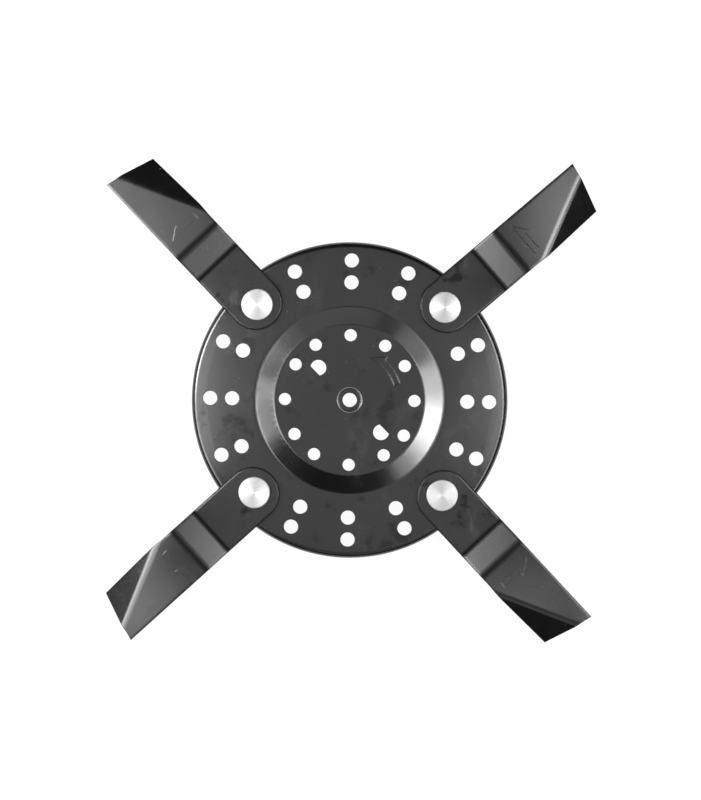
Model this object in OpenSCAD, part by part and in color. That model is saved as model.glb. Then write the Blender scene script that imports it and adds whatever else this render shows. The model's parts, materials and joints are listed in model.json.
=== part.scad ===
// Rotary mower blade unit: a dished disc that carries four swing-back blades on pivot bolts.
// Millimetres. The Z axis is the bore's axis, and z = 0 is the disc's hub face.
// +Z is the side the blades are on, which points at the ground when the mower works.

/* [Disc] */
// Outside diameter of the disc
disc_d = 260; // [258:1:290]
// Sheet thickness of the disc
disc_t = 3; // [2:0.5:4]
// How far the centre is dished below the ring
dish_depth = 8; // [5:0.5:10]
// Diameter of the flat floor of the dish
dish_floor_d = 120.6; // [118:0.2:124]
// Slope of the dish wall
dish_slope = 26.5; // [26:0.5:40]
// Inside radius of the dish's two bends
dish_bend_r = 6.5; // [3:0.5:7]
// Height of the turned-down rim
rim_h = 8; // [6:0.5:14]
// Inside radius of the rim's bend
rim_bend_r = 1.8; // [1:0.1:2.5]
// Radius of the slight droop that leads into the rim
rim_droop_r = 140; // [80:10:400]

/* [Disc holes] */
// Diameter of the centre bore
bore_d = 11.6; // [8:0.1:16]
// Diameter of the shallow seat around the bore
seat_d = 20; // [18:0.5:26]
// Depth of that seat
seat_depth = 0.6; // [0.2:0.1:1]
// Width of the seat's sloping edge
seat_edge = 0.8; // [0.2:0.1:1]
// Diameter of the circle the two drive holes lie on
drive_circle_d = 74.2; // [60:0.5:78]
// Diameter of the round part of a drive hole
drive_hole_d = 12.9; // [10:0.1:14]
// Distance from a drive hole's centre to its flat
drive_flat = 3.7; // [2:0.1:5]
// Diameter of the circle the dish holes lie on
dish_hole_circle_d = 106.8; // [102:0.2:107]
// Diameter of a dish hole
dish_hole_d = 10; // [6:0.5:11]
// Angle between neighbouring dish holes of a group of three
dish_hole_angle = 32.5; // [16:0.5:36]
// Distance from the disc's outside to the centres of the outer ring holes
ring_hole_margin = 15.3; // [13:0.1:18]
// Distance between the two holes of a pair
ring_hole_pitch = 18; // [14:0.2:19]
// Diameter of a ring hole
ring_hole_d = 11.6; // [8:0.2:12]
// Angle between neighbouring pairs of ring holes
ring_hole_angle = 24; // [12:0.5:26]

/* [Blades] */
// Width of a blade
blade_w = 44.2; // [40:0.2:46]
// Sheet thickness of a blade
blade_t = 4; // [3:0.5:5]
// Distance from the pivot to the leading corner, along the blade
blade_reach = 155.4; // [145:0.2:170]
// How far outside the pivot the blade's round end is centred
end_offset = 2; // [0:0.5:4]
// Distance from the pivot to the start of the step
step_start = 45.2; // [40:0.2:50]
// Height of the step
step_rise = 10.5; // [8:0.5:14]
// Slope of the step
step_slope = 25; // [23:1:40]
// Inside radius of the step's two bends
step_bend_r = 12; // [4:0.5:14]
// Angle that the tip is cut back by
tip_skew = 11; // [6:1:16]
// Distance from the end of the step to where the lift wing's bend starts, along the trailing edge
wing_gap = 6.8; // [4:0.2:14]
// Angle between the wing's bend and the blade
wing_skew = 26.1; // [24:0.1:28]
// Angle that the wing is folded down by
wing_fold = 27; // [10:1:35]
// Inside radius of the wing's bend
wing_bend_r = 9; // [3:0.5:12]
// Width of the ground bevel along the cutting edge
bevel_w = 9; // [4:0.5:10]
// Distance from the end of the step to the start of the bevel
bevel_gap = 6; // [2:0.5:20]
// Thickness left at the cutting edge
edge_t = 0.8; // [0.4:0.1:1.5]
// Angle at which the bevel runs out
bevel_runout = 30; // [20:1:60]
// Swing of each blade from its radial line, as it lies in the photograph
blade_swing = [-3.8, -0.7, -2.1, -1.3]; // [-60:0.1:60]

/* [Pivots] */
// Distance from the disc's outside to the axis of a pivot
pivot_margin = 21; // [20:0.5:23]
// Diameter of a pivot bolt's head
head_d = 25.8; // [22:0.2:28]
// Height of the head
head_h = 4; // [3:0.5:5]
// Chamfer on the head's edge
head_chamfer = 0.5; // [0.2:0.1:1]
// Diameter of the shoulder a blade turns on
shoulder_d = 16; // [15:0.5:18]
// Thread diameter
thread_d = 10; // [8:1:10]
// Length of thread that shows past the nut
thread_end = 2; // [1:0.5:4]
// Outside diameter of a washer
washer_d = 18; // [17:0.5:18.5]
// Thickness of a washer
washer_t = 2; // [1:0.2:2.6]
// Nut size across its flats
nut_flats = 16; // [15:0.5:17]
// Height of the nut's six-sided part
nut_hex_h = 7; // [6:0.5:8]
// Height of the nut's round collar
nut_collar_h = 3; // [2.5:0.25:4]

/* [Clearances] */
// Radial clearance between a shoulder and its blade
pivot_clearance = 0.08; // [0.04:0.01:0.1]
// Play over and under a blade
blade_play = 0.3; // [0.25:0.05:0.5]
// Clearance each side of a bolt's square neck
neck_clearance = 0.1; // [0.05:0.05:0.2]
// Radial clearance around the thread in a washer
washer_clearance = 0.25; // [0.1:0.05:0.5]
// Radial clearance around the thread in a nut
thread_clearance = 0.05; // [0.02:0.01:0.1]

/* [Hidden] */
$fn = 144;
arc_step = 5;
cut = 1;

disc_r = disc_d / 2;
ring_top = dish_depth + disc_t;
pivot_r = disc_r - pivot_margin;
pivot_angles = [45, 135, 225, 315];

// Rim: a slight droop past the washers, then a tight bend down to the lip
rim_outer_r = rim_bend_r + disc_t;
droop_start = pivot_r + washer_d / 2 + 0.5;
droop_angle = asin((disc_r - rim_outer_r - droop_start) / (rim_droop_r - rim_outer_r));
droop_centre = [droop_start, ring_top - rim_droop_r];
rim_centre = droop_centre + (rim_droop_r - rim_outer_r) * [sin(droop_angle), cos(droop_angle)];
lip_z = ring_top - rim_h;

// Pivot stack, from the ring's upper face
blade_z = ring_top + blade_play;
head_z = blade_z + blade_t + blade_play;
nut_h = nut_hex_h + nut_collar_h;
washer_z = dish_depth - washer_t;
nut_z = washer_z - nut_h;
bolt_end_z = nut_z - thread_end;
neck_h = disc_t - 0.5;
shoulder_h = head_z - ring_top;
thread_chamfer = 1;

// Nut details: the insert sits in the collar, under a rolled-over lip
nut_chamfer_d = nut_flats * 1.02;
nut_corner_d = nut_flats / cos(30);
nut_chamfer_h = (nut_corner_d - nut_chamfer_d) / 2 * tan(30);
collar_d = nut_flats - 0.8;
insert_d = thread_d + 3.2;
insert_h = nut_collar_h - 0.8;
collar_lip_d = thread_d + 1.6;

// Blade: the outer stretch takes over halfway between the step and the wing
step_end = step_start + step_run(step_rise, step_slope, step_bend_r, blade_t);
wing_start = step_end + wing_gap;
outer_start = step_end + wing_gap / 2;
bevel_start = step_end + bevel_gap;
bevel_angle = atan((blade_t - edge_t) / bevel_w);

// Wing: places on the flat blank are counted along the middle of the sheet, from the bend line
wing_origin = [wing_start, -blade_w / 2];
bend_length = (wing_bend_r + blade_t / 2) * wing_fold * PI / 180;
bend_steps = ceil(wing_fold / arc_step);
tip_along = (blade_reach - wing_start) * cos(wing_skew) + blade_w * sin(wing_skew);
tip_across = blade_w * cos(wing_skew) - (blade_reach - wing_start) * sin(wing_skew);
corner_y = (tip_along - tip_across * tan(tip_skew + wing_skew))
    / (1 / tan(wing_skew) + tan(tip_skew + wing_skew));

paint = "#2f2f31";
steel = "#c9cacc";
zinc = "#b4b6ba";
nylon = "#e8e6dc";

function arc(centre, r, from, to) =
    let (steps = max(2, ceil(abs(to - from) / arc_step)))
    [for (i = [0:steps]) let (a = from + (to - from) * i / steps) centre + r * [cos(a), sin(a)]];

function reversed(points) = [for (i = [len(points) - 1:-1:0]) points[i]];

// Length, along the sheet, that a step up through two equal bends takes
function step_run(rise, slope, bend_r, t) =
    let (r = 2 * bend_r + t)
    r * sin(slope) + (rise - r * (1 - cos(slope))) / tan(slope);

// One face of a stepped sheet: r1 and r2 are that face's radii in the lower and the upper bend
function step_face(start, rise, slope, r1, r2, run) = concat(
    arc(start + [0, r1], r1, -90, slope - 90),
    arc(start + [run, rise - r2], r2, 90 + slope, 90)
);

// One face of the rim, inset from the outer face
function rim_face(inset) = concat(
    arc(droop_centre, rim_droop_r - inset, 90, 90 - droop_angle),
    arc(rim_centre, rim_outer_r - inset, 90 - droop_angle, 0),
    [[disc_r - inset, lip_z]]
);

module disc_profile() {
    floor_r = dish_floor_d / 2;
    run = step_run(dish_depth, dish_slope, dish_bend_r, disc_t);
    outer_r = dish_bend_r + disc_t;
    under = concat(
        [[0, 0]],
        step_face([floor_r, 0], dish_depth, dish_slope, outer_r, dish_bend_r, run),
        rim_face(disc_t)
    );
    upper = concat(
        [[0, disc_t]],
        step_face([floor_r, disc_t], dish_depth, dish_slope, dish_bend_r, outer_r, run),
        rim_face(0)
    );
    polygon(concat(under, reversed(upper)));
}

// A hole straight through the sheet, at radius r and the given angle
module disc_hole(r, angle, d) {
    rotate(angle) translate([r, 0, -cut]) cylinder(d = d, h = ring_top + 2 * cut);
}

module drive_hole(angle) {
    rotate(angle) translate([drive_circle_d / 2, 0, -cut]) intersection() {
        cylinder(d = drive_hole_d, h = disc_t + 2 * cut);
        translate([-drive_hole_d, -drive_hole_d, 0])
            cube([2 * drive_hole_d, drive_hole_d + drive_flat, disc_t + 2 * cut]);
    }
}

module centre_bore() {
    translate([0, 0, -cut]) cylinder(d = bore_d, h = disc_t + 2 * cut);
    translate([0, 0, disc_t - seat_depth])
        cylinder(d1 = seat_d - 2 * seat_edge, d2 = seat_d, h = seat_depth);
    translate([0, 0, disc_t]) cylinder(d = seat_d, h = cut);
}

module neck_hole(angle) {
    side = thread_d + 2 * neck_clearance;
    rotate(angle) translate([pivot_r, 0, dish_depth + disc_t / 2])
        cube([side, side, disc_t + 2 * cut], center = true);
}

module blade_disc() {
    color(paint) difference() {
        rotate_extrude() disc_profile();
        centre_bore();
        for (angle = [135, 315]) drive_hole(angle);
        for (quarter = [0, 90, 180, 270]) {
            for (side = [-1, 0, 1]) {
                disc_hole(dish_hole_circle_d / 2, quarter + side * dish_hole_angle, dish_hole_d);
                for (row = [0, 1])
                    disc_hole(
                        disc_r - ring_hole_margin - row * ring_hole_pitch,
                        quarter + side * ring_hole_angle, ring_hole_d
                    );
            }
        }
        for (angle = pivot_angles) neck_hole(angle);
    }
}

// The blade's inner stretch: round pivot end, step, and the start of the outer flat.
// The pivot is at the origin, the tip towards +X and the cutting edge on the +Y side.
module blade_strip() {
    half = blade_w / 2;
    run = step_run(step_rise, step_slope, step_bend_r, blade_t);
    outer_r = step_bend_r + blade_t;
    under = concat(
        [[-blade_w, 0]],
        step_face([step_start, 0], step_rise, step_slope, outer_r, step_bend_r, run),
        [[outer_start, step_rise]]
    );
    upper = concat(
        [[-blade_w, blade_t]],
        step_face([step_start, blade_t], step_rise, step_slope, step_bend_r, outer_r, run),
        [[outer_start, step_rise + blade_t]]
    );
    intersection() {
        rotate([90, 0, 0]) linear_extrude(blade_w + 2 * cut, center = true)
            polygon(concat(under, reversed(upper)));
        translate([0, 0, -cut]) linear_extrude(step_rise + blade_t + 2 * cut) {
            translate([end_offset, 0]) circle(r = half);
            translate([end_offset, -half]) square([outer_start + cut - end_offset, blade_w]);
        }
    }
}

// Where the flat blank's trailing edge and tip cut a line at distance y past the wing's bend line
function wing_near(y) = y / tan(wing_skew);
function wing_far(y) = tip_along - (tip_across + y) * tan(tip_skew + wing_skew);

// A point on a face of the folded sheet: x along the bend, turned by a, then past the bend by out.
// The face's radius in the bend is r.
function wing_point(x, a, out, r) =
    let (y = -r * sin(a) - out * cos(a))
    [
        wing_origin.x + x * cos(wing_skew) - y * sin(wing_skew),
        wing_origin.y + x * sin(wing_skew) + y * cos(wing_skew),
        step_rise + r * cos(a) - out * sin(a) - wing_bend_r,
    ];

// Outline of one face of the outer stretch, round from the end that meets the strip
function outer_face(r) =
    let (half = blade_w / 2, z = step_rise + r - wing_bend_r, n = bend_steps)
    concat(
        [[outer_start, half, z], [outer_start, -half, z]],
        [for (i = [0:n]) wing_point(wing_near(bend_length * i / n), wing_fold * i / n, 0, r)],
        [wing_point(wing_near(corner_y), wing_fold, corner_y - bend_length, r)],
        [for (i = [n:-1:0]) wing_point(wing_far(bend_length * i / n), wing_fold * i / n, 0, r)],
        [[blade_reach, half, z]]
    );

// The blade's outer stretch: the flat with the cutting edge, and the lift wing folded down
module blade_outer() {
    n = bend_steps;
    m = 2 * n + 6;
    near = [for (i = [0:n]) 2 + i];
    far = [for (i = [0:n]) m - 2 - i];
    corner = n + 3;
    sheet = concat(
        [[0, 1, near[0], far[0], m - 1], [near[n], corner, far[n]]],
        [
            for (i = [0:n - 1])
            each [[near[i], near[i + 1], far[i + 1]], [near[i], far[i + 1], far[i]]]
        ]
    );
    sides = [
        for (i = [0:m - 1])
        let (j = (i + 1) % m)
        each [[i, j, m + j], [i, m + j, m + i]]
    ];
    upper = [for (face = sheet) reversed(face)];
    under = [for (face = sheet) [for (i = face) m + i]];
    polyhedron(
        concat(outer_face(wing_bend_r + blade_t), outer_face(wing_bend_r)),
        concat(upper, under, sides)
    );
}

// What the grindstone takes off the hidden face along the cutting edge
module bevel_cut() {
    intersection() {
        translate([0, blade_w / 2 - bevel_w, step_rise]) rotate([bevel_angle, 0, 0])
            translate([0, 0, -blade_w]) cube([blade_reach + blade_w, blade_w, blade_w]);
        translate([bevel_start, 0, step_rise]) rotate([0, -bevel_runout, 0])
            translate([0, 0, -2 * blade_reach]) cube([2 * blade_reach, blade_w, 2 * blade_reach]);
    }
}

module blade(i) {
    color(paint) rotate(pivot_angles[i]) translate([pivot_r, 0, blade_z]) rotate(blade_swing[i])
        difference() {
            union() {
                blade_strip();
                blade_outer();
            }
            translate([0, 0, -cut])
                cylinder(r = shoulder_d / 2 + pivot_clearance, h = blade_t + 2 * cut);
            bevel_cut();
        }
}

module pivot_bolt(i) {
    color(steel) rotate(pivot_angles[i]) translate([pivot_r, 0, 0]) {
        translate([0, 0, head_z]) cylinder(d = head_d, h = head_h - head_chamfer);
        translate([0, 0, head_z + head_h - head_chamfer])
            cylinder(d1 = head_d, d2 = head_d - 2 * head_chamfer, h = head_chamfer);
        translate([0, 0, ring_top]) cylinder(d = shoulder_d, h = shoulder_h);
        translate([-thread_d / 2, -thread_d / 2, ring_top - neck_h]) cube([thread_d, thread_d, neck_h]);
        translate([0, 0, bolt_end_z + thread_chamfer])
            cylinder(d = thread_d, h = ring_top - neck_h - bolt_end_z - thread_chamfer);
        translate([0, 0, bolt_end_z])
            cylinder(d1 = thread_d - 2 * thread_chamfer, d2 = thread_d, h = thread_chamfer);
    }
}

module washers() {
    color(zinc) for (angle = pivot_angles) rotate(angle) translate([pivot_r, 0, washer_z])
        difference() {
            cylinder(d = washer_d, h = washer_t);
            translate([0, 0, -cut])
                cylinder(r = thread_d / 2 + washer_clearance, h = washer_t + 2 * cut);
        }
}

// A nut's body, seat face up at z = nut_h
module nut_body() {
    intersection() {
        translate([0, 0, nut_collar_h]) cylinder(d = nut_corner_d, h = nut_hex_h, $fn = 6);
        union() {
            translate([0, 0, nut_h - nut_chamfer_h])
                cylinder(d1 = nut_corner_d, d2 = nut_chamfer_d, h = nut_chamfer_h);
            translate([0, 0, nut_collar_h + nut_chamfer_h])
                cylinder(d = nut_corner_d + cut, h = nut_hex_h - 2 * nut_chamfer_h);
            translate([0, 0, nut_collar_h])
                cylinder(d1 = nut_chamfer_d, d2 = nut_corner_d, h = nut_chamfer_h);
        }
    }
    cylinder(d = collar_d, h = nut_collar_h + cut);
}

module lock_nuts() {
    color(zinc) for (angle = pivot_angles) rotate(angle) translate([pivot_r, 0, nut_z])
        difference() {
            nut_body();
            translate([0, 0, -cut])
                cylinder(r = thread_d / 2 + thread_clearance, h = nut_h + 2 * cut);
            translate([0, 0, nut_collar_h - insert_h]) cylinder(d = insert_d, h = insert_h);
            translate([0, 0, -cut]) cylinder(d = collar_lip_d, h = nut_collar_h - insert_h + cut);
        }
}

module nut_inserts() {
    color(nylon) for (angle = pivot_angles) rotate(angle)
        translate([pivot_r, 0, nut_z + nut_collar_h - insert_h])
            difference() {
                cylinder(d = insert_d, h = insert_h);
                translate([0, 0, -cut])
                    cylinder(r = thread_d / 2 + thread_clearance, h = insert_h + 2 * cut);
            }
}

blade_disc();
blade(0);  // blade_1
blade(1);  // blade_2
blade(2);  // blade_3
blade(3);  // blade_4
pivot_bolt(0);  // pivot_bolt_1
pivot_bolt(1);  // pivot_bolt_2
pivot_bolt(2);  // pivot_bolt_3
pivot_bolt(3);  // pivot_bolt_4
washers();
lock_nuts();
nut_inserts();
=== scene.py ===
import json
import math

import bmesh
import bpy
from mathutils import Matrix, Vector


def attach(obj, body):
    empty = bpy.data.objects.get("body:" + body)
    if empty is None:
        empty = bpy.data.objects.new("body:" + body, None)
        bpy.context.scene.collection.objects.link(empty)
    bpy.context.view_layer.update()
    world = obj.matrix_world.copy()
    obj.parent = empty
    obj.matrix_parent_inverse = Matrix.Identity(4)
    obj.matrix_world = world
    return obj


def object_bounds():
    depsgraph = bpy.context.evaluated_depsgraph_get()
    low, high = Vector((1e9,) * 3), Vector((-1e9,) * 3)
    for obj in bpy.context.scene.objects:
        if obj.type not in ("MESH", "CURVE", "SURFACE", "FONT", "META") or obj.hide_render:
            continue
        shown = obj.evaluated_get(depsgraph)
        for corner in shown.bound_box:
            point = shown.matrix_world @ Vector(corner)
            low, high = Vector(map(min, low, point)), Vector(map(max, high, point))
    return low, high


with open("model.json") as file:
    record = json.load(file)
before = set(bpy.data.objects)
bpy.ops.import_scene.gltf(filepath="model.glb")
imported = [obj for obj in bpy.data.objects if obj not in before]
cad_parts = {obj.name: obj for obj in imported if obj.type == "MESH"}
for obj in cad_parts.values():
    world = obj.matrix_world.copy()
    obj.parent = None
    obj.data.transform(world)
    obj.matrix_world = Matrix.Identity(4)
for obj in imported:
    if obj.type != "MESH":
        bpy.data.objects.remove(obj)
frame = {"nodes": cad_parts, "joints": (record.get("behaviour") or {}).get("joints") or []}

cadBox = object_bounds()
scene = bpy.context.scene
scene.view_settings.view_transform = "Standard"
nodes = frame["nodes"]
bladeNumbers = (1, 2, 3, 4)
mm = 0.001
up = Vector((0, 0, 1))
print("frame loaded,", len(nodes), "nodes")

# camera: straight above, a little turned, framed on the plane of the blade tips
cameraSet = {
    "height": 3.0,
    "aside": 0.7 * mm,
    "turn": 0.87,
    "tipPlane": 25.7 * mm,
    "frameHeight": 654.3 * mm,
    "sensor": 36.0,
    "clip": (0.05, 100.0),
}


def makeCamera(s):
    data = bpy.data.cameras.new("camera")
    data.type = "PERSP"
    data.sensor_width = s["sensor"]
    data.lens = s["sensor"] * (s["height"] - s["tipPlane"]) / s["frameHeight"]
    data.clip_start, data.clip_end = s["clip"]
    camera = bpy.data.objects.new("camera", data)
    camera.location = (s["aside"], 0, s["height"])
    camera.rotation_euler = (0, 0, math.radians(s["turn"]))
    scene.collection.objects.link(camera)
    scene.camera = camera


makeCamera(cameraSet)
print("camera set")

# lamps, like a light tent: boxes on both sides, a pale screen at the front, and low overhead panels
# that are bright on the left and right and dim in the middle, where the camera looks through
# a lamp is two corners on its wall, along the other two axes, and its radiance
lampSet = {
    "left": {
        "axis": 0, "place": -0.64, "aim": (1, 0, 0),
        "lamps": {
            "leftFront": ((-0.30, 0.42), (-0.15, 0.70), 2.5),
            "leftFill": ((-0.15, 0.42), (-0.02, 0.70), 2.8),
            "leftMiddle": ((-0.02, 0.42), (0.15, 0.70), 3.5),
            "leftScreen": ((-0.90, 0.62), (0.90, 0.92), 1.3),
        },
    },
    "right": {
        "axis": 0, "place": 0.64, "aim": (-1, 0, 0),
        "lamps": {
            "rightMiddle": ((-0.15, 0.52), (0.00, 0.70), 4.5),
            "rightFill": ((0.00, 0.52), (0.15, 0.70), 2.0),
            "rightHigh": ((0.00, 0.70), (0.15, 1.10), 0.5),
            "rightBack": ((0.15, 0.50), (0.30, 0.70), 1.1),
            "rightScreen": ((-0.90, 0.65), (-0.30, 1.05), 0.8),
        },
    },
    "front": {
        "axis": 1, "place": -0.90, "aim": (0, 1, 0),
        "lamps": {"frontScreen": ((-0.30, 0.68), (0.60, 0.98), 0.5)},
    },
    "over": {
        "axis": 2, "place": 0.42, "aim": (0, 0, -1),
        "lamps": {
            "overMiddle": ((-0.12, -0.20), (0.12, 0.20), 0.46),
            "overLeftInner": ((-0.13, -0.07), (-0.08, 0.07), 0.8),
            "overLeftNear": ((-0.21, -0.07), (-0.13, 0.07), 2.6),
            "overLeftEdge": ((-0.24, -0.16), (-0.18, 0.16), 2.5),
            "overLeftFront": ((-0.62, -0.20), (-0.24, 0.02), 3.3),
            "overLeftBack": ((-0.62, 0.02), (-0.28, 0.26), 12.5),
            "overBackLeft": ((-0.40, 0.26), (-0.20, 0.38), 1.8),
            "overBackNear": ((-0.25, 0.12), (-0.13, 0.25), 1.0),
            "overFrontLeft": ((-0.24, -0.26), (-0.15, -0.17), 2.0),
            "overRightInner": ((0.08, -0.07), (0.14, 0.07), 0.5),
            "overRightNear": ((0.14, -0.07), (0.20, 0.07), 2.5),
            "overRightFront": ((0.24, -0.25), (0.40, 0.00), 3.4),
            "overRightBack": ((0.22, 0.00), (0.40, 0.19), 6.0),
            "overBackRight": ((0.16, 0.13), (0.24, 0.24), 1.8),
            "overFrontRight": ((0.07, -0.25), (0.20, -0.15), 1.1),
            "overFront": ((-0.40, -0.50), (0.30, -0.27), 0.25),
        },
    },
}


def makeLamp(name, wall, low, high, radiance):
    data = bpy.data.lights.new(name, "AREA")
    data.shape = "RECTANGLE"
    data.size, data.size_y = high[0] - low[0], high[1] - low[1]
    data.energy = radiance * math.pi * data.size * data.size_y
    lamp = bpy.data.objects.new(name, data)
    middle = [(a + b) / 2 for a, b in zip(low, high)]
    middle.insert(wall["axis"], wall["place"])
    lamp.location = middle
    lamp.rotation_euler = Vector(wall["aim"]).to_track_quat("-Z", "Y").to_euler()
    lamp.visible_camera = False
    scene.collection.objects.link(lamp)


for lampWall in lampSet.values():
    for lampName, lampValues in lampWall["lamps"].items():
        makeLamp(lampName, lampWall, *lampValues)
print("lamps set")


# shader helpers
def feed(tree, socket, value):
    if isinstance(value, bpy.types.NodeSocket):
        tree.links.new(value, socket)
    else:
        socket.default_value = value


def addNode(tree, kind, values=None, **settings):
    node = tree.nodes.new(kind)
    for key, value in settings.items():
        setattr(node, key, value)
    for key, value in (values or {}).items():
        feed(tree, node.inputs[key], value)
    return node


def calc(tree, operation, a, b=0.0, c=0.0):
    return addNode(tree, "ShaderNodeMath", {0: a, 1: b, 2: c}, operation=operation).outputs[0]


def apart(tree, a, b):
    return calc(tree, "ABSOLUTE", calc(tree, "SUBTRACT", a, b))


def vectorCalc(tree, operation, a, b=(0, 0, 0)):
    return addNode(tree, "ShaderNodeVectorMath", {0: a, 1: b}, operation=operation).outputs


# distance from the upright axis
def flatLength(tree, vector):
    flat = vectorCalc(tree, "MULTIPLY", vector, (1, 1, 0))["Vector"]
    return vectorCalc(tree, "LENGTH", flat)["Value"]


def fade(tree, value, low, high, start=0.0, end=1.0):
    values = {"Value": value, "From Min": low, "From Max": high, "To Min": start, "To Max": end}
    return addNode(tree, "ShaderNodeMapRange", values, interpolation_type="SMOOTHSTEP").outputs[0]


def blendColour(tree, amount, a, b):
    node = addNode(tree, "ShaderNodeMix", {0: amount, 6: a, 7: b}, data_type="RGBA")
    return node.outputs[2]


def noise(tree, vector, scale, detail, rough):
    values = {"Vector": vector, "Scale": scale, "Detail": detail, "Roughness": rough}
    return addNode(tree, "ShaderNodeTexNoise", values).outputs["Fac"]


def stretch(tree, vector, scale, turn=0.0):
    values = {"Vector": vector, "Scale": scale, "Rotation": (0, 0, turn)}
    return addNode(tree, "ShaderNodeMapping", values).outputs[0]


def newGroup(name, inputs, outputs):
    tree = bpy.data.node_groups.new(name, "ShaderNodeTree")
    for label, kind in inputs:
        tree.interface.new_socket(label, in_out="INPUT", socket_type="NodeSocket" + kind)
    for label, kind in outputs:
        tree.interface.new_socket(label, in_out="OUTPUT", socket_type="NodeSocket" + kind)
    given = tree.nodes.new("NodeGroupInput").outputs
    wanted = tree.nodes.new("NodeGroupOutput").inputs
    return tree, given, wanted


def placeGroup(tree, group, values):
    return addNode(tree, "ShaderNodeGroup", values, node_tree=group).outputs


def newMaterial(name, fixed):
    material = bpy.data.materials.new(name)
    material.use_nodes = True
    tree = material.node_tree
    tree.nodes.clear()
    shader = addNode(tree, "ShaderNodeBsdfPrincipled", fixed)
    out = tree.nodes.new("ShaderNodeOutputMaterial")
    tree.links.new(shader.outputs[0], out.inputs["Surface"])
    return material, tree, shader


def objectPlace(tree):
    return tree.nodes.new("ShaderNodeTexCoord").outputs["Object"]


def bumpInto(tree, shader, height, distance, normal=None):
    bump = addNode(tree, "ShaderNodeBump", {"Height": height, "Distance": distance})
    if normal:
        feed(tree, bump.inputs["Normal"], normal)
    tree.links.new(bump.outputs[0], shader.inputs["Normal"])


def grey(value):
    return (value, value, value, 1)


# floor: white to the camera and in reflections, and it still takes the shadow
floorSet = {"size": 60.0, "gap": 0.1 * mm, "glow": 0.95, "shadowShare": 0.12, "paleness": 0.8}


def makeFloor(s):
    half = s["size"] / 2
    level = cadBox[0].z - s["gap"]
    corners = [(x * half, y * half, level) for x, y in ((-1, -1), (1, -1), (1, 1), (-1, 1))]
    mesh = bpy.data.meshes.new("floor")
    mesh.from_pydata(corners, [], [(0, 1, 2, 3)])
    floor = bpy.data.objects.new("floor", mesh)
    scene.collection.objects.link(floor)
    material = bpy.data.materials.new("paleFloor")
    material.use_nodes = True
    tree = material.node_tree
    tree.nodes.clear()
    path = tree.nodes.new("ShaderNodeLightPath").outputs
    seen = calc(tree, "MAXIMUM", path["Is Camera Ray"], path["Is Glossy Ray"])
    seen = calc(tree, "MAXIMUM", seen, path["Is Transmission Ray"])
    strength = calc(tree, "MULTIPLY", seen, s["glow"])
    glow = addNode(tree, "ShaderNodeEmission", {"Strength": strength})
    tint = blendColour(tree, seen, grey(s["paleness"]), grey(s["shadowShare"]))
    matt = addNode(tree, "ShaderNodeBsdfDiffuse", {"Color": tint})
    both = addNode(tree, "ShaderNodeAddShader", {0: glow.outputs[0], 1: matt.outputs[0]})
    # seen from below, the floor is clear
    clear = tree.nodes.new("ShaderNodeBsdfTransparent")
    side = tree.nodes.new("ShaderNodeNewGeometry").outputs["Backfacing"]
    mix = addNode(tree, "ShaderNodeMixShader", {0: side, 1: both.outputs[0], 2: clear.outputs[0]})
    out = tree.nodes.new("ShaderNodeOutputMaterial")
    tree.links.new(mix.outputs[0], out.inputs["Surface"])
    mesh.materials.append(material)


makeFloor(floorSet)

# the room beyond the lamps is dark
worldSet = {"light": 0.02}


def makeWorld(s):
    world = bpy.data.worlds.new("studio")
    world.use_nodes = True
    tree = world.node_tree
    tree.nodes.clear()
    back = addNode(tree, "ShaderNodeBackground", {"Color": grey(1), "Strength": s["light"]})
    out = tree.nodes.new("ShaderNodeOutputWorld")
    tree.links.new(back.outputs[0], out.inputs["Surface"])
    scene.world = world


makeWorld(worldSet)
print("floor and world set")

# satin paint film: fine peel, faint clouds, oily smudges, dusty wipes, specks and water stains
# a noise is its scale, detail and roughness, without the scale where each paint gives its own
filmSet = {
    "cloud": (4.0, 0.6), "cloudTint": grey(0.006), "cloudSpread": (0.3, 0.7), "cloudRough": 0.025,
    "smudge": (5.0, 0.65), "smudgeFiner": 2.3, "smudgeFade": (0.56, 0.72), "smudgeRough": 0.14,
    "wipe": (100.0, 4.0, 0.6), "wipeStretch": (1.0, 0.25, 1.0), "wipeTurn": 0.6,
    "wipeFade": (0.52, 0.75), "wipeClouds": (0.52, 0.68), "wipeTint": grey(0.05), "wipeRough": 0.15,
    "speck": (520.0, 1.0, 0.5), "speckFade": (0.76, 0.82), "speckShare": 0.5, "speckTint": grey(0.16),
    "stain": (48.0, 4.0, 0.6), "stainFade": (0.56, 0.68),
    "peel": (900.0, 2.0, 0.5),
}


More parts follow.
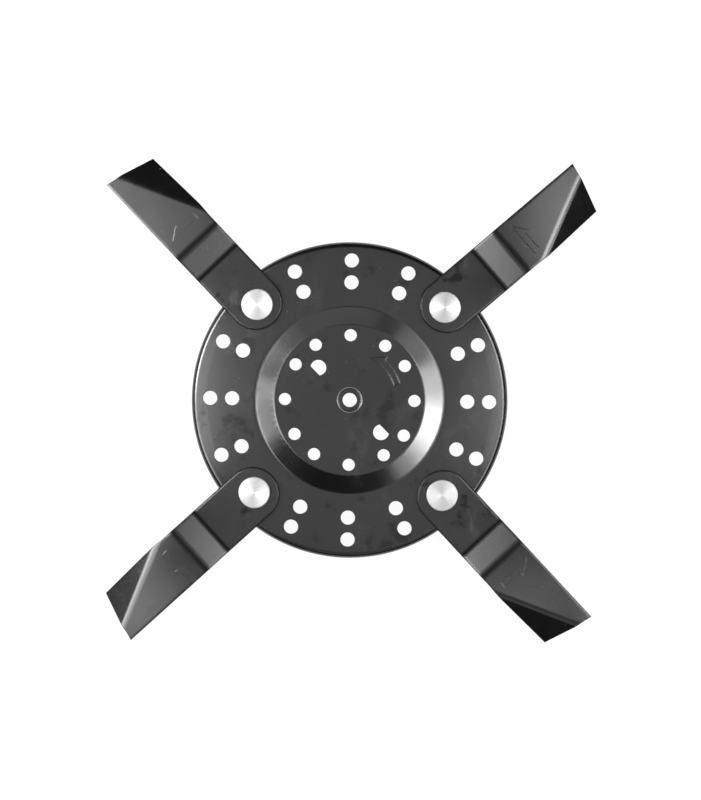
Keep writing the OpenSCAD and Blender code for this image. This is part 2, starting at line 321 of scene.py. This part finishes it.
def makePaintFilm(s):
    tree, given, wanted = newGroup(
        "paintFilm",
        [("Vector", "Vector"), ("Cloud Scale", "Float"), ("Smudge", "Float"), ("Dust", "Float"),
         ("Stain", "Float"), ("Base", "Color"), ("Roughness", "Float")],
        [("Colour", "Color"), ("Roughness", "Float"), ("Height", "Float"), ("Stain", "Float")],
    )
    place = given["Vector"]
    cloud = noise(tree, place, given["Cloud Scale"], *s["cloud"])
    smudgeScale = calc(tree, "MULTIPLY", given["Cloud Scale"], s["smudgeFiner"])
    smudge = fade(tree, noise(tree, place, smudgeScale, *s["smudge"]), *s["smudgeFade"])
    smudge = calc(tree, "MULTIPLY", smudge, given["Smudge"])
    wipe = noise(tree, stretch(tree, place, s["wipeStretch"], s["wipeTurn"]), *s["wipe"])
    wipe = fade(tree, wipe, *s["wipeFade"])
    wipe = calc(tree, "MULTIPLY", wipe, fade(tree, cloud, *s["wipeClouds"]))
    wipe = calc(tree, "MULTIPLY", wipe, given["Dust"])
    speck = fade(tree, noise(tree, place, *s["speck"]), *s["speckFade"])
    speck = calc(tree, "MULTIPLY", speck, s["speckShare"])
    tint = blendColour(tree, cloud, given["Base"], s["cloudTint"])
    tint = blendColour(tree, wipe, tint, s["wipeTint"])
    feed(tree, wanted["Colour"], blendColour(tree, speck, tint, s["speckTint"]))
    drift = fade(tree, cloud, *s["cloudSpread"], -s["cloudRough"], s["cloudRough"])
    rough = calc(tree, "ADD", given["Roughness"], drift)
    rough = calc(tree, "MULTIPLY_ADD", smudge, s["smudgeRough"], rough)
    feed(tree, wanted["Roughness"], calc(tree, "MULTIPLY_ADD", wipe, s["wipeRough"], rough))
    feed(tree, wanted["Height"], noise(tree, place, *s["peel"]))
    stain = fade(tree, noise(tree, place, *s["stain"]), *s["stainFade"])
    feed(tree, wanted["Stain"], calc(tree, "MULTIPLY", stain, given["Stain"]))
    return tree


# small chips along an edge, where bare steel shows
chipSet = {"grain": (620.0, 3.0, 0.6), "patch": (60.0, 2.0, 0.5), "level": (1.08, 1.22)}


def makeEdgeChips(s):
    tree, given, wanted = newGroup(
        "edgeChips",
        [("Vector", "Vector"), ("Edge Distance", "Float"), ("Reach", "Float"), ("Amount", "Float")],
        [("Mask", "Float")],
    )
    grain = noise(tree, given["Vector"], *s["grain"])
    patch = noise(tree, given["Vector"], *s["patch"])
    near = calc(tree, "DIVIDE", given["Edge Distance"], given["Reach"])
    near = fade(tree, near, 0.0, 1.0, 1.0, 0.0)
    level = calc(tree, "MULTIPLY", calc(tree, "ADD", grain, patch), near)
    chip = fade(tree, level, *s["level"])
    feed(tree, wanted["Mask"], calc(tree, "MULTIPLY", chip, given["Amount"]))
    return tree


paintFilm = makePaintFilm(filmSet)
edgeChips = makeEdgeChips(chipSet)

# what the paints of the disc and the blades share
paintSet = {
    "ior": 1.9,
    "base": grey(0.003),
    "roughness": 0.2,
    "peel": 0.0001 * mm,
    "bareSteel": grey(0.5),
    # the dark colour of the stains and of the painted shade
    "shadeAndStain": grey(0.016),
    "chipReach": 1.3 * mm,
    "edgeSamples": 4,
}


def placeFilm(tree, place, s, dust, stain):
    return placeGroup(tree, paintFilm, {
        "Vector": place, "Cloud Scale": s["cloudScale"], "Smudge": s["smudge"], "Dust": dust,
        "Stain": stain, "Base": paintSet["base"], "Roughness": paintSet["roughness"],
    })


def placeChips(tree, place, edgeDistance, amount):
    return placeGroup(tree, edgeChips, {
        "Vector": place, "Edge Distance": edgeDistance,
        "Reach": paintSet["chipReach"], "Amount": amount,
    })["Mask"]


# bare steel over the paint film, then stains and painted shade over both; these count as dark metal,
# which takes the gloss away
def paintOver(tree, shader, film, bare, steel, shadeAndStain):
    tint = blendColour(tree, bare, film["Colour"], steel)
    feed(tree, shader.inputs["Base Color"], blendColour(tree, shadeAndStain, tint, paintSet["shadeAndStain"]))
    feed(tree, shader.inputs["Metallic"], calc(tree, "MAXIMUM", bare, shadeAndStain))


# normal that turns softly over edges
def softNormal(tree, radius):
    values = {"Radius": radius}
    return addNode(tree, "ShaderNodeBevel", values, samples=paintSet["edgeSamples"]).outputs[0]


discSet = {
    "radius": 130 * mm, "cloudScale": 14.0, "smudge": 0.6, "dust": 0.3, "stain": 0.4, "chips": 0.7,
    "wallMiddle": 69 * mm, "wallClear": (9.1 * mm, 13 * mm),
    # a painted highlight: bare steel in a thin ring at the centre seat's edge
    "seatRing": 10.2 * mm, "seatFade": (0.15 * mm, 0.5 * mm), "seatHighlightShare": 0.65,
    "stampedEdge": 0.9 * mm,
}


def makeDiscPaint(s):
    material, tree, shader = newMaterial("discPaint", {"IOR": paintSet["ior"]})
    place = objectPlace(tree)
    radius = flatLength(tree, place)
    # water stains stay on the flats and run off the dish wall
    offWall = apart(tree, radius, s["wallMiddle"])
    film = placeFilm(tree, place, s, s["dust"], fade(tree, offWall, *s["wallClear"], 0.0, s["stain"]))
    chips = placeChips(tree, place, calc(tree, "SUBTRACT", s["radius"], radius), s["chips"])
    # a painted highlight: the paint gives way to bare steel in a thin ring at the centre seat's edge
    seatHighlight = fade(tree, apart(tree, radius, s["seatRing"]), *s["seatFade"], s["seatHighlightShare"], 0.0)
    bare = calc(tree, "MAXIMUM", chips, seatHighlight)
    paintOver(tree, shader, film, bare, paintSet["bareSteel"], film["Stain"])
    feed(tree, shader.inputs["Roughness"], film["Roughness"])
    bumpInto(tree, shader, film["Height"], paintSet["peel"], softNormal(tree, s["stampedEdge"]))
    return material


# lengths run along the blade from its pivot, across it from its middle, and up from the frame's zero
bladeSet = {
    "halfWidth": 22.1 * mm,
    "endOffset": 2 * mm,  # middle of the round end
    "topLevel": 25.8 * mm,
    "underLevel": 21.8 * mm,
    "bevelWidth": 9 * mm,
    "bevelRise": 3.2 * mm,
    "bevelStart": 79.9 * mm,
    "runOut": 30.0,  # degrees, where the bevel starts
    "bevelSlack": 0.12 * mm,  # how near to the ground face still counts as ground
    "groundLines": (2500.0, 2.0, 0.5),
    "lineStretch": (1.0, 0.04, 0.04),
    "lineSpread": (0.3, 0.7),
    "groundTints": (grey(0.62), grey(0.4)),
    "groundRough": (0.28, 0.42),
    "cloudScale": 22.0,
    "smudge": 0.3,
    "dust": (1.0, 0.1),  # around the pivot and further out, as for the stains
    "stain": (0.7, 0.0),
    "dirtEnd": (34 * mm, 46 * mm),
    "chips": 0.8,
    "rolledEdge": 3.0 * mm,
    "rolledFade": (1.5 * mm, 3.6 * mm),
    "groundRoll": 0.3,
    "stampedEdge": 0.9 * mm,
    # painted shade: dark bands painted in the two bends, and a painted shadow line round the pivot
    # end
    "creaseShades": ((47.4 * mm, 3.3 * mm, 0.97), (71.2 * mm, 4.0 * mm, 0.85)),  # middle, reach, strength
    "endShadow": {"rim": (0.33 * mm, 1.1 * mm), "strength": 0.85, "fade": (20 * mm, 32 * mm)},
}


def bladeJoint(number):
    return next(j for j in frame["joints"] if j["name"] == f"blade_{number}_pivot")


def bladePivot(number):
    return Vector(bladeJoint(number)["pos_m"])


# each joint's range is centred on its blade's radial line
def bladeTurn(number):
    pivot = bladePivot(number)
    swing = -sum(bladeJoint(number)["range_deg"]) / 2
    return math.atan2(pivot.y, pivot.x) + math.radians(swing)


# coordinates along the blade, across it and up
def bladePlace(tree, place, number):
    pivot, turn = bladePivot(number), bladeTurn(number)
    shift = (
        -pivot.x * math.cos(turn) - pivot.y * math.sin(turn),
        pivot.x * math.sin(turn) - pivot.y * math.cos(turn),
        0,
    )
    values = {"Vector": place, "Rotation": (0, 0, -turn), "Location": shift}
    return addNode(tree, "ShaderNodeMapping", values).outputs[0]


# bare ground strip under the cutting edge: near the higher of the bevel and its run-out
def makeGroundStrip(s):
    outputs = [("Mask", "Float"), ("Lines", "Float")]
    tree, given, wanted = newGroup("groundStrip", [("Local", "Vector")], outputs)
    axes = addNode(tree, "ShaderNodeSeparateXYZ", {0: given["Local"]}).outputs
    rise = calc(tree, "SUBTRACT", axes["Z"], s["underLevel"])
    across = calc(tree, "SUBTRACT", axes["Y"], s["halfWidth"] - s["bevelWidth"])
    along = calc(tree, "SUBTRACT", axes["X"], s["bevelStart"])
    bevel = calc(tree, "MULTIPLY_ADD", across, -s["bevelRise"] / s["bevelWidth"], rise)
    runOut = calc(tree, "MULTIPLY_ADD", along, -math.tan(math.radians(s["runOut"])), rise)
    off = calc(tree, "ABSOLUTE", calc(tree, "MAXIMUM", bevel, runOut))
    mask = calc(tree, "LESS_THAN", off, s["bevelSlack"])
    mask = calc(tree, "MULTIPLY", mask, calc(tree, "GREATER_THAN", across, 0.0))
    mask = calc(tree, "MULTIPLY", mask, calc(tree, "GREATER_THAN", along, 0.0))
    feed(tree, wanted["Mask"], mask)
    lines = noise(tree, stretch(tree, given["Local"], s["lineStretch"]), *s["groundLines"])
    feed(tree, wanted["Lines"], lines)
    return tree


groundStrip = makeGroundStrip(bladeSet)


# the punched outline is rolled over, less so along the ground edge, and the stamped arrow is finer
def rolledNormal(tree, along, edgeDistance, s):
    near = fade(tree, edgeDistance, *s["rolledFade"], 1.0, 0.0)
    groundNear = s["bevelStart"] - s["bevelWidth"]
    share = fade(tree, along, groundNear, s["bevelStart"], 1.0, s["groundRoll"])
    fine, wide = softNormal(tree, s["stampedEdge"]), softNormal(tree, s["rolledEdge"])
    values = {0: calc(tree, "MULTIPLY", near, share), 4: fine, 5: wide}
    return addNode(tree, "ShaderNodeMix", values, data_type="VECTOR").outputs[1]


# painted shade: dull dark bands painted along the two bends, and a dark painted shadow line round the
# pivot end's outline
def paintedShade(tree, along, edgeDistance, s):
    end = s["endShadow"]
    rim = fade(tree, edgeDistance, *end["rim"], end["strength"], 0.0)
    shadeAndStain = calc(tree, "MULTIPLY", rim, fade(tree, along, *end["fade"], 1.0, 0.0))
    for middle, reach, strength in s["creaseShades"]:
        creaseShade = fade(tree, apart(tree, along, middle), 0.0, reach, strength, 0.0)
        shadeAndStain = calc(tree, "MAXIMUM", creaseShade, shadeAndStain)
    return shadeAndStain


def makeBladePaint(number, s):
    material, tree, shader = newMaterial(f"bladePaint{number}", {"IOR": paintSet["ior"]})
    place = objectPlace(tree)
    local = bladePlace(tree, place, number)
    axes = addNode(tree, "ShaderNodeSeparateXYZ", {0: local}).outputs
    along = axes["X"]
    back = calc(tree, "MINIMUM", calc(tree, "SUBTRACT", along, s["endOffset"]), 0.0)
    aside = addNode(tree, "ShaderNodeCombineXYZ", {0: back, 1: axes["Y"]}).outputs[0]
    aside = vectorCalc(tree, "LENGTH", aside)["Value"]
    edgeDistance = calc(tree, "SUBTRACT", s["halfWidth"], aside)
    dust = fade(tree, along, *s["dirtEnd"], *s["dust"])
    stain = fade(tree, along, *s["dirtEnd"], *s["stain"])
    film = placeFilm(tree, place, s, dust, stain)
    chips = placeChips(tree, place, edgeDistance, s["chips"])
    ground = placeGroup(tree, groundStrip, {"Local": local})
    bare = calc(tree, "MAXIMUM", chips, ground["Mask"])
    groundTint = blendColour(tree, ground["Lines"], *s["groundTints"])
    steel = blendColour(tree, ground["Mask"], paintSet["bareSteel"], groundTint)
    # painted shade in the bends and round the pivot end, together with the water stains
    shadeAndStain = calc(tree, "MAXIMUM", paintedShade(tree, along, edgeDistance, s), film["Stain"])
    paintOver(tree, shader, film, bare, steel, shadeAndStain)
    groundRough = fade(tree, ground["Lines"], *s["lineSpread"], *s["groundRough"])
    values = {0: ground["Mask"], 2: film["Roughness"], 3: groundRough}
    feed(tree, shader.inputs["Roughness"], addNode(tree, "ShaderNodeMix", values).outputs[0])
    rolled = rolledNormal(tree, along, edgeDistance, s)
    bumpInto(tree, shader, film["Height"], paintSet["peel"], rolled)
    return material


# turned steel: rings left by the lathe tool, bright across them
steelSet = {
    "roughness": (0.32, 0.40), "anisotropy": 0.5, "brushTurn": 0.25,
    "bright": grey(0.97), "dull": grey(0.88), "marks": (300.0, 3.0, 0.6), "markSpread": (0.2, 0.8),
    "ringPitch": 0.4 * mm, "ringDepth": 0.002 * mm,
}


def makeSteel(number, s):
    material, tree, shader = newMaterial(f"turnedSteel{number}", {
        "Metallic": 1.0, "Anisotropic": s["anisotropy"], "Anisotropic Rotation": s["brushTurn"],
    })
    around = addNode(tree, "ShaderNodeTangent", direction_type="RADIAL", axis="Z")
    tree.links.new(around.outputs[0], shader.inputs["Tangent"])
    pivot = bladePivot(number)
    fromAxis = vectorCalc(tree, "SUBTRACT", objectPlace(tree), (pivot.x, pivot.y, 0))["Vector"]
    turns = calc(tree, "MULTIPLY", flatLength(tree, fromAxis), 2 * math.pi / s["ringPitch"])
    mark = noise(tree, fromAxis, *s["marks"])
    feed(tree, shader.inputs["Base Color"], blendColour(tree, mark, s["bright"], s["dull"]))
    feed(tree, shader.inputs["Roughness"], fade(tree, mark, *s["markSpread"], *s["roughness"]))
    bumpInto(tree, shader, calc(tree, "SINE", turns), s["ringDepth"])
    return material


# zinc plate: mottled, with a faint blue
zincSet = {
    "pale": (0.66, 0.68, 0.70, 1), "dark": (0.50, 0.52, 0.55, 1), "mottle": (260.0, 4.0, 0.6),
    "tintSpread": (0.35, 0.65), "roughSpread": (0.3, 0.7), "roughness": (0.30, 0.44),
    "depth": 0.002 * mm,
}


def makeZinc(s):
    material, tree, shader = newMaterial("zincPlate", {"Metallic": 1.0})
    mottle = noise(tree, objectPlace(tree), *s["mottle"])
    tint = blendColour(tree, fade(tree, mottle, *s["tintSpread"]), s["pale"], s["dark"])
    feed(tree, shader.inputs["Base Color"], tint)
    feed(tree, shader.inputs["Roughness"], fade(tree, mottle, *s["roughSpread"], *s["roughness"]))
    bumpInto(tree, shader, mottle, s["depth"])
    return material


# nylon: milky and a little uneven
nylonSet = {
    "pale": (0.80, 0.79, 0.74, 1), "dark": (0.70, 0.69, 0.63, 1), "cloud": (180.0, 3.0, 0.5),
    "roughSpread": (0.3, 0.7), "roughness": (0.40, 0.53), "ior": 1.53,
}


def makeNylon(s):
    material, tree, shader = newMaterial("nylonRing", {"IOR": s["ior"]})
    cloud = noise(tree, objectPlace(tree), *s["cloud"])
    feed(tree, shader.inputs["Base Color"], blendColour(tree, cloud, s["pale"], s["dark"]))
    feed(tree, shader.inputs["Roughness"], fade(tree, cloud, *s["roughSpread"], *s["roughness"]))
    return material


def dress(piece, material):
    for slot in piece.material_slots:
        slot.material = material


dress(nodes["blade_disc"], makeDiscPaint(discSet))
for number in bladeNumbers:
    dress(nodes[f"blade_{number}"], makeBladePaint(number, bladeSet))
    dress(nodes[f"pivot_bolt_{number}"], makeSteel(number, steelSet))
zincPlate = makeZinc(zincSet)
dress(nodes["washers"], zincPlate)
dress(nodes["lock_nuts"], zincPlate)
dress(nodes["nut_inserts"], makeNylon(nylonSet))
print("finishes on")


# stamped and cut lines: a V swept along a path, hidden, that a boolean takes out of the solid
def makeCutter(name, path, outs, sides, s, closed, body):
    lift = s["depth"]  # the V stands as far out of the surface as it cuts in
    half = s["width"]  # so its half width out there is the groove's width at the surface
    verts = []
    for point, out, side in zip(path, outs, sides):
        top = point + out * lift
        verts += [top + side * half, top - side * half, point - out * s["depth"]]
    count = len(path)
    faces = []
    for i in range(count if closed else count - 1):
        a, b = 3 * i, 3 * ((i + 1) % count)
        faces += [(a, b, b + 2, a + 2), (a + 2, b + 2, b + 1, a + 1), (a + 1, b + 1, b, a)]
    if not closed:
        end = 3 * (count - 1)
        faces += [(0, 2, 1), (end, end + 1, end + 2)]
    mesh = bpy.data.meshes.new(name)
    mesh.from_pydata(verts, [], faces)
    shape = bmesh.new()
    shape.from_mesh(mesh)
    bmesh.ops.recalc_face_normals(shape, faces=shape.faces)
    shape.to_mesh(mesh)
    shape.free()
    cutter = bpy.data.objects.new(name, mesh)
    cutter.hide_render = True
    scene.collection.objects.link(cutter)
    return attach(cutter, body)


# direction arrows, outlines only
arrowSet = {
    "mitre": 0.35,  # keeps the sharp corners from running far out
    "blade": {
        "width": 0.65 * mm, "depth": 0.22 * mm,
        "points": ((84.2, 15.5), (92.4, 4.5), (89.6, 4.5), (89.6, -13.1), (84.6, -13.1)),
    },
    "disc": {
        "width": 0.65 * mm, "depth": 0.22 * mm, "level": 3 * mm,
        "inner": 38.7 * mm, "outer": 43.7 * mm, "barb": (47.0 * mm, 49.8),
        "start": 19.5, "apex": 65.7, "neck": 48.7, "step": 3.0,
    },
}


# sides of a closed flat path, mitred at its corners
def mitredSides(path):
    sides = []
    for i, point in enumerate(path):
        before = (point - path[i - 1]).normalized()
        after = (path[(i + 1) % len(path)] - point).normalized()
        side = (up.cross(before) + up.cross(after)).normalized()
        sides.append(side / max(arrowSet["mitre"], side.dot(up.cross(before))))
    return sides


def arrowCut(name, path, s, body):
    return makeCutter(name, path, [up] * len(path), mitredSides(path), s, True, body)


def bladeArrow(number, s):
    pivot, turn = bladePivot(number), bladeTurn(number)
    ahead = Vector((math.cos(turn), math.sin(turn), 0))
    left = Vector((-ahead.y, ahead.x, 0))
    base = Vector((pivot.x, pivot.y, bladeSet["topLevel"]))
    path = [base + ahead * (x * mm) + left * (y * mm) for x, y in s["points"]]
    return arrowCut(f"arrowCut{number}", path, s, f"swing_blade_{number}")


def polar(radius, angle, level):
    a = math.radians(angle)
    return Vector((radius * math.cos(a), radius * math.sin(a), level))


def arcPoints(radius, start, end, s):
    count = max(2, round(abs(end - start) / s["step"]))
    return [polar(radius, start + (end - start) * i / count, s["level"]) for i in range(count + 1)]


def discArrow(s):
    path = arcPoints(s["outer"], s["start"], s["neck"], s)
    path.append(polar(*s["barb"], s["level"]))
    path += arcPoints(s["inner"], s["apex"], s["start"], s)
    return arrowCut("arrowCutDisc", path, s, "rotor")


# thread on the bolts' ends
threadSet = {
    "radius": 5 * mm, "pitch": 1.5 * mm, "depth": 0.75 * mm, "width": 0.68 * mm,
    "low": -6.6 * mm, "high": -3.0 * mm, "steps": 36,
}


def threadCut(number, s):
    pivot = bladePivot(number)
    count = round((s["high"] - s["low"]) / s["pitch"] * s["steps"])
    path, outs = [], []
    for i in range(count + 1):
        a = 2 * math.pi * i / s["steps"]
        out = Vector((math.cos(a), math.sin(a), 0))
        level = s["low"] + s["pitch"] * i / s["steps"]
        path.append(Vector((pivot.x, pivot.y, level)) + out * s["radius"])
        outs.append(out)
    return makeCutter(f"threadCut{number}", path, outs, [up] * len(path), s, False, "rotor")


# soft edges on the solids: join, clear the flat faces, round the edges, cut, even the normals
edgeSet = {
    "join": 0.002 * mm, "flat": 0.4, "angle": 30.0, "segments": 2,
    "disc": 0.12 * mm, "blade": 0.17 * mm, "bolt": 0.12 * mm, "washer": 0.12 * mm,
    "insert": 0.12 * mm,
}


def softenEdges(piece, kind, cutter=None):
    join = piece.modifiers.new("join", "WELD")
    join.merge_threshold = edgeSet["join"]
    flat = piece.modifiers.new("flat", "DECIMATE")
    flat.decimate_type = "DISSOLVE"
    flat.angle_limit = math.radians(edgeSet["flat"])
    edge = piece.modifiers.new("edge", "BEVEL")
    edge.width, edge.segments = edgeSet[kind], edgeSet["segments"]
    edge.limit_method = "ANGLE"
    edge.angle_limit = math.radians(edgeSet["angle"])
    edge.use_clamp_overlap = False
    if cutter:
        groove = piece.modifiers.new("groove", "BOOLEAN")
        groove.operation = "DIFFERENCE"
        groove.solver = "MANIFOLD"
        groove.object = cutter
    even = piece.modifiers.new("even", "WEIGHTED_NORMAL")
    even.keep_sharp = True


softenEdges(nodes["blade_disc"], "disc", discArrow(arrowSet["disc"]))
for number in bladeNumbers:
    softenEdges(nodes[f"blade_{number}"], "blade", bladeArrow(number, arrowSet["blade"]))
    softenEdges(nodes[f"pivot_bolt_{number}"], "bolt", threadCut(number, threadSet))
softenEdges(nodes["washers"], "washer")
softenEdges(nodes["nut_inserts"], "insert")
print("edges rounded, arrows and threads cut")
